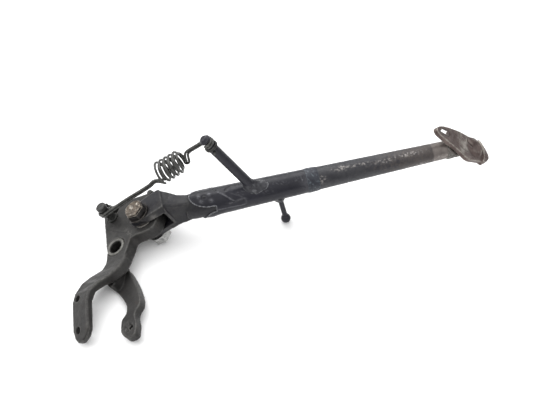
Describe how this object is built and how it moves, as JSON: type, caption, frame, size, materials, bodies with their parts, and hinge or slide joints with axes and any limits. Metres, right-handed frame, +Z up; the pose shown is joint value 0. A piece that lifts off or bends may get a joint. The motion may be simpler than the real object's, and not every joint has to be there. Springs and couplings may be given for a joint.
{
  "type": "motorcycle kickstand",
  "caption": "Motorcycle side stand: tapered steel leg with slotted foot, kick peg and spring post, hinged by a clevis to a forged fork bracket with nested springs.",
  "frame": {"origin": "middle of the bounding box, at the level of the surface that the stand lies on", "axes": "+X along the leg from the bracket to the foot, +Y to the far side of the leg, +Z up from the surface it lies on"},
  "size_m": [0.384, 0.2066, 0.114],
  "materials": {
    "forged_steel": "dark phosphate on a forged skin",
    "black_paint": "satin black paint with light wear",
    "worn_black_paint": "black paint worn to bare steel near the foot",
    "rusted_steel": "bare hex head with tan surface rust",
    "zinc_plate": "bright zinc plate",
    "bronze": "plain bronze bearing metal",
    "spring_steel": "dark oiled spring wire",
    "dark_pin_steel": "dull dark steel",
    "worn_steel": "scuffed bare steel, brown grey",
    "insert_steel": "machined ring, grey"
  },
  "bodies": {
    "bracket": {"bracket_forging": "forged_steel", "threaded_insert": "insert_steel", "spring_stud": "forged_steel", "stud_split_pin": "dark_pin_steel", "stop_pin": "forged_steel", "pivot_bush": "bronze", "thrust_washer_upper": "worn_steel", "thrust_washer_lower": "worn_steel"},
    "leg": {"pivot_bolt": "rusted_steel", "head_washer": "rusted_steel", "nut_washer": "zinc_plate", "pivot_nut": "zinc_plate", "clevis": "black_paint", "upper_tube": "black_paint", "lower_tube": "worn_black_paint", "tube_weld": "black_paint", "foot_weld": "worn_steel", "spring_post": "black_paint", "post_weld": "black_paint", "post_washer": "dark_pin_steel", "post_split_pin": "dark_pin_steel", "kick_peg": "black_paint", "peg_weld": "black_paint", "foot_plate": "worn_steel"},
    "spring_lower": {"outer_spring_lower": "spring_steel", "inner_spring_lower": "spring_steel"},
    "spring_upper": {"outer_spring_upper": "spring_steel", "inner_spring_upper": "spring_steel"}
  },
  "joints": [
    {"name": "leg_swing", "type": "hinge", "parent": "bracket", "child": "leg", "pos_m": [-0.13168, 0.01489, 0.0258], "axis": [-0.5, 0, 0.866], "range_deg": [-95, 0], "stiffness_Nm_per_rad": 1.6, "springref_deg": 68.75},
    {"name": "spring_swing", "type": "hinge", "parent": "bracket", "child": "spring_lower", "pos_m": [-0.17374, 0.03089, 0.02345], "axis": [-0.5, 0, 0.866], "range_deg": [-67.5, 0]},
    {"name": "spring_reach", "type": "slide", "parent": "spring_lower", "child": "spring_upper", "axis": [0.7698, 0.0574, 0.6357], "range_m": [-0.0078, 0], "deforming": ["outer_spring_lower", "inner_spring_lower", "outer_spring_upper", "inner_spring_upper"]}
  ],
  "couplings": [
    {"joint": "spring_swing", "follows": "leg_swing", "ratio": 0.7081},
    {"joint": "spring_reach", "follows": "leg_swing", "m_per_rad": 0.004653}
  ]
}
